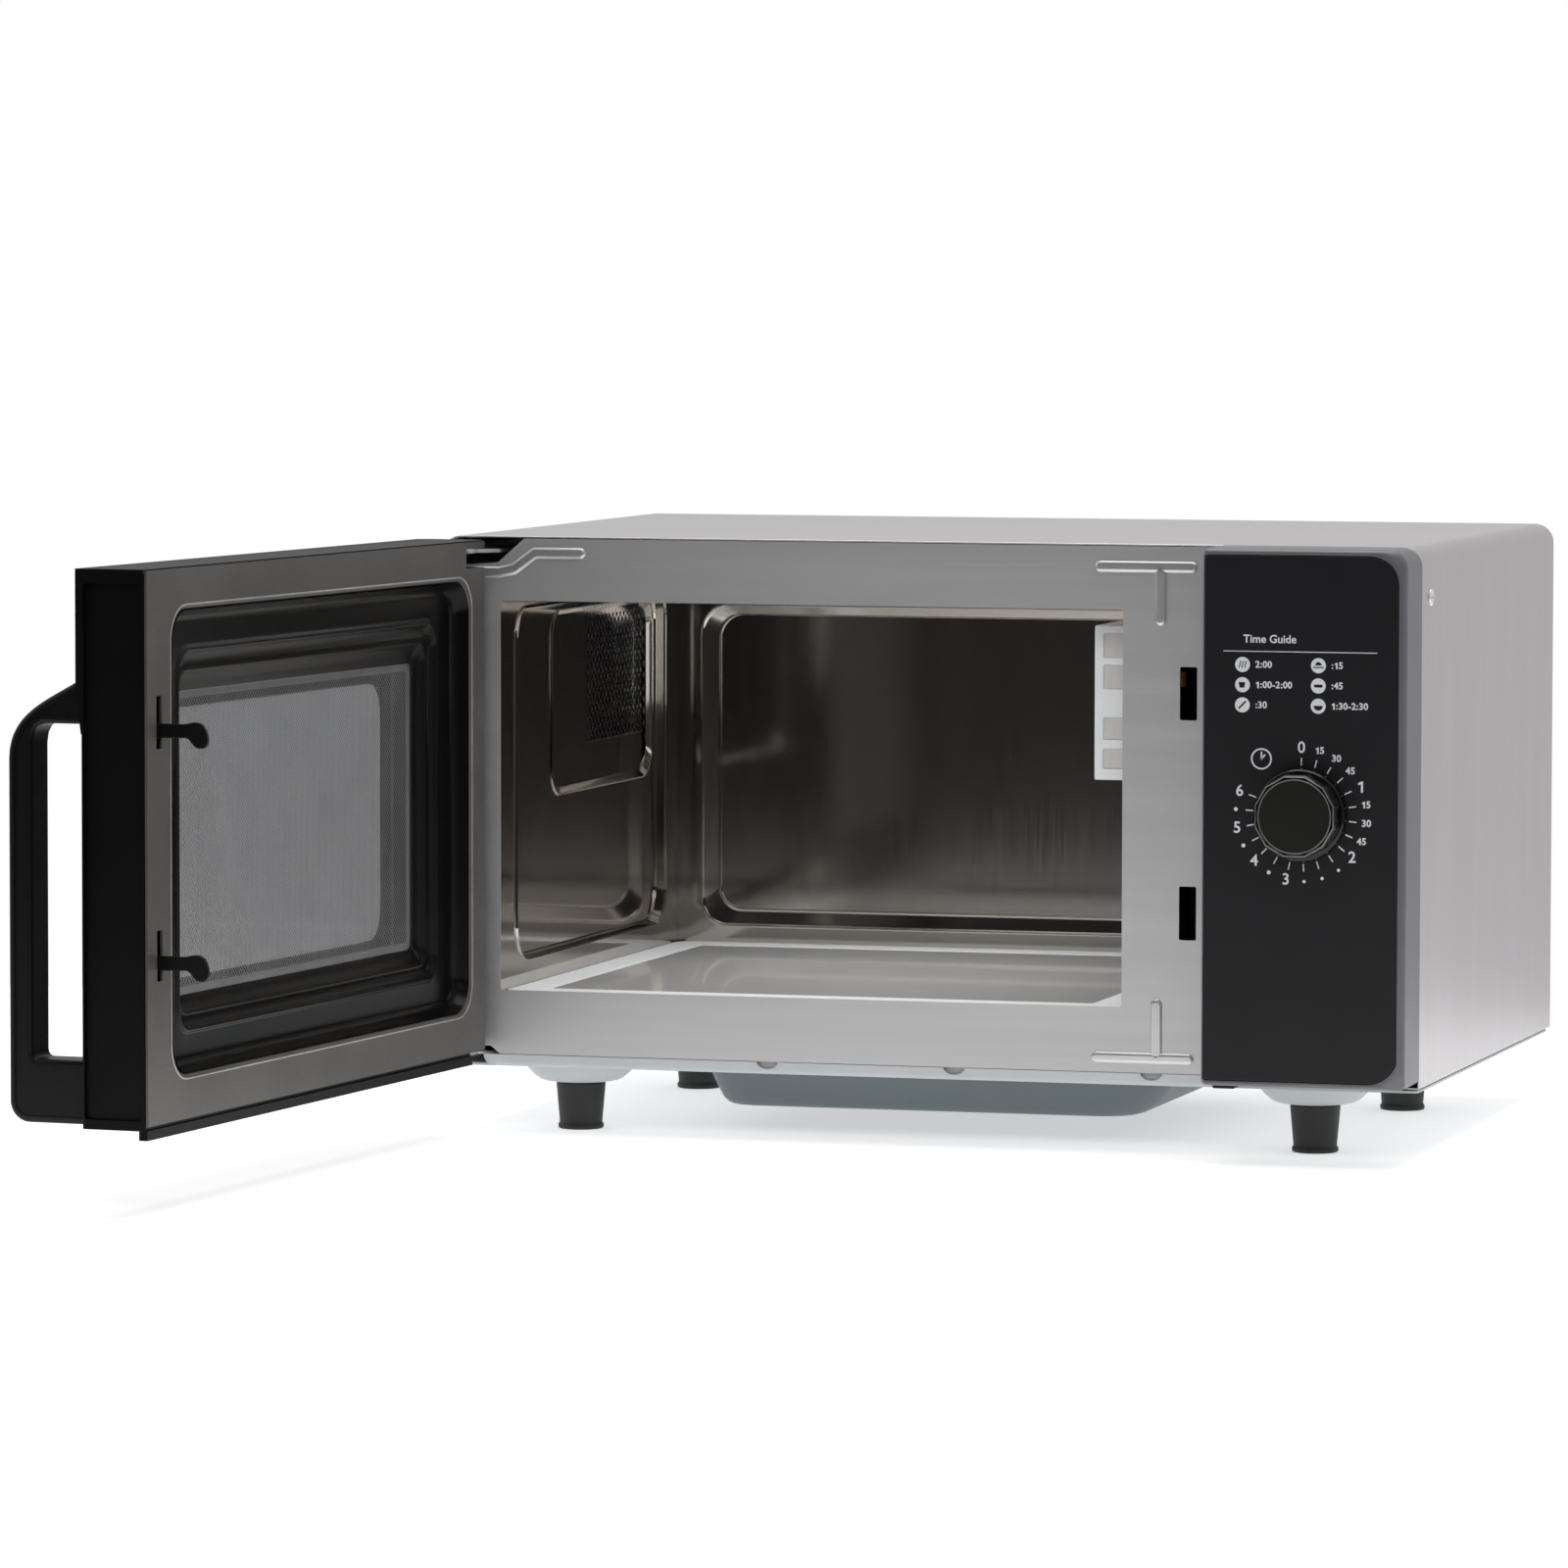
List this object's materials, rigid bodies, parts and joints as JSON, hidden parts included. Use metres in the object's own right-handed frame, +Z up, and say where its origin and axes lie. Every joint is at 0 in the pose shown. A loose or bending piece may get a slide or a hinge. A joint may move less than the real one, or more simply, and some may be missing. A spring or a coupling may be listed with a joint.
{
  "type": "microwave oven",
  "caption": "Compact commercial microwave oven, door open: steel cabinet, dial timer on a black panel, hook latches and a perforated window, flat ceramic floor.",
  "frame": {"origin": "middle of the whole object's bounding box with the door open, on the surface it stands on", "axes": "+X to the right seen from the front, +Y from the door to the back, +Z up"},
  "size_m": [0.5958, 0.7602, 0.307],
  "materials": {
    "wrap_steel": "brushed, satin",
    "front_steel": "brushed, satin",
    "cavity_steel": "smooth, polished",
    "zinc_steel": "zinc coated",
    "base_paint": "satin",
    "pan_paint": "satin",
    "foot_plastic": "moulded, matt",
    "black_plastic": "moulded, satin",
    "gloss_black": "gloss",
    "graphite_plastic": "painted, satin metallic",
    "panel_film": "printed film, satin",
    "door_paint": "baked enamel, satin",
    "mesh_steel": "perforated, satin",
    "clear_film": "clear, gloss",
    "smoked_glass": "smoked, gloss",
    "white_plastic": "moulded, satin",
    "ceramic": "glazed",
    "laminations": "varnished",
    "copper_winding": "varnished copper wire",
    "aluminium": "plain",
    "circuit_board": "solder mask",
    "bulb_glass": "clear"
  },
  "bodies": {
    "cabinet": {"outer_wrap": "wrap_steel", "front_plate": "front_steel", "rear_panel": "zinc_steel", "base_plate": "base_paint", "antenna_pan": "pan_paint", "foot_front_left": "foot_plastic", "foot_front_right": "foot_plastic", "foot_rear_left": "foot_plastic", "foot_rear_right": "foot_plastic", "wrap_screw_left": "zinc_steel", "wrap_screw_right": "zinc_steel", "cavity_left_wall": "cavity_steel", "exhaust_screen": "cavity_steel", "cavity_right_wall": "cavity_steel", "cavity_ceiling": "cavity_steel", "cavity_rear_wall": "cavity_steel", "cavity_floor": "cavity_steel", "ceramic_tray": "ceramic", "lamp_cover": "white_plastic", "lamp_bulb": "bulb_glass", "lamp_socket": "white_plastic", "exhaust_duct": "zinc_steel", "waveguide": "zinc_steel", "antenna_motor": "black_plastic", "magnetron": "aluminium", "transformer_core": "laminations", "transformer_winding": "copper_winding", "hv_capacitor": "aluminium", "hv_diode": "black_plastic", "fan_shroud": "black_plastic", "fan_motor": "laminations", "cord_gland": "black_plastic", "control_housing": "graphite_plastic", "control_overlay": "panel_film", "timer_unit": "black_plastic", "panel_clip": "black_plastic", "filter_board": "circuit_board", "latch_bracket": "black_plastic", "primary_switch": "black_plastic", "monitor_switch": "black_plastic", "secondary_switch": "black_plastic", "upper_hinge_plate": "zinc_steel", "lower_hinge_plate": "zinc_steel"},
    "door": {"door_frame": "black_plastic", "door_outer_glass": "smoked_glass", "door_inner_panel": "door_paint", "door_choke_ring": "gloss_black", "door_mesh_screen": "mesh_steel", "door_window_film": "clear_film", "door_handle": "black_plastic", "latch_spring": "zinc_steel", "latch_spring_post": "black_plastic"},
    "latch": {"latch_slide": "black_plastic"},
    "knob": {"timer_knob": "gloss_black", "timer_shaft": "zinc_steel"},
    "fan": {"fan_blade": "black_plastic"},
    "antenna": {"antenna_rotor": "aluminium"},
    "primary_plunger": {"primary_switch_plunger": "white_plastic"},
    "monitor_plunger": {"monitor_switch_plunger": "white_plastic"},
    "secondary_plunger": {"secondary_switch_plunger": "white_plastic"}
  },
  "joints": [
    {"name": "door_hinge", "type": "hinge", "parent": "cabinet", "child": "door", "pos_m": [-0.20378, 0.01503, 0.173], "axis": [0, 0, 1], "range_deg": [-10, 95]},
    {"name": "latch_travel", "type": "slide", "parent": "door", "child": "latch", "axis": [0, 0, 1], "range_m": [0, 0.008], "stiffness_N_per_m": 150, "springref_m": -0.01, "deforming": ["latch_spring"]},
    {"name": "timer_turn", "type": "hinge", "parent": "cabinet", "child": "knob", "pos_m": [0.24422, -0.00517, 0.1758], "axis": [0, 1, 0], "range_deg": [0, 290]},
    {"name": "fan_spin", "type": "hinge", "parent": "cabinet", "child": "fan", "pos_m": [0.22252, 0.36283, 0.227], "axis": [0, 1, 0], "continuous": true},
    {"name": "antenna_spin", "type": "hinge", "parent": "cabinet", "child": "antenna", "pos_m": [-0.01948, 0.19083, 0.058], "axis": [0, 0, 1], "continuous": true},
    {"name": "primary_plunger_press", "type": "slide", "parent": "cabinet", "child": "primary_plunger", "axis": [0, 1, 0], "range_m": [0, 0.0012], "stiffness_N_per_m": 300, "springref_m": -0.002},
    {"name": "monitor_plunger_press", "type": "slide", "parent": "cabinet", "child": "monitor_plunger", "axis": [0, 1, 0], "range_m": [0, 0.0012], "stiffness_N_per_m": 300, "springref_m": -0.002},
    {"name": "secondary_plunger_press", "type": "slide", "parent": "cabinet", "child": "secondary_plunger", "axis": [0, 1, 0], "range_m": [0, 0.0012], "stiffness_N_per_m": 300, "springref_m": -0.002}
  ]
}
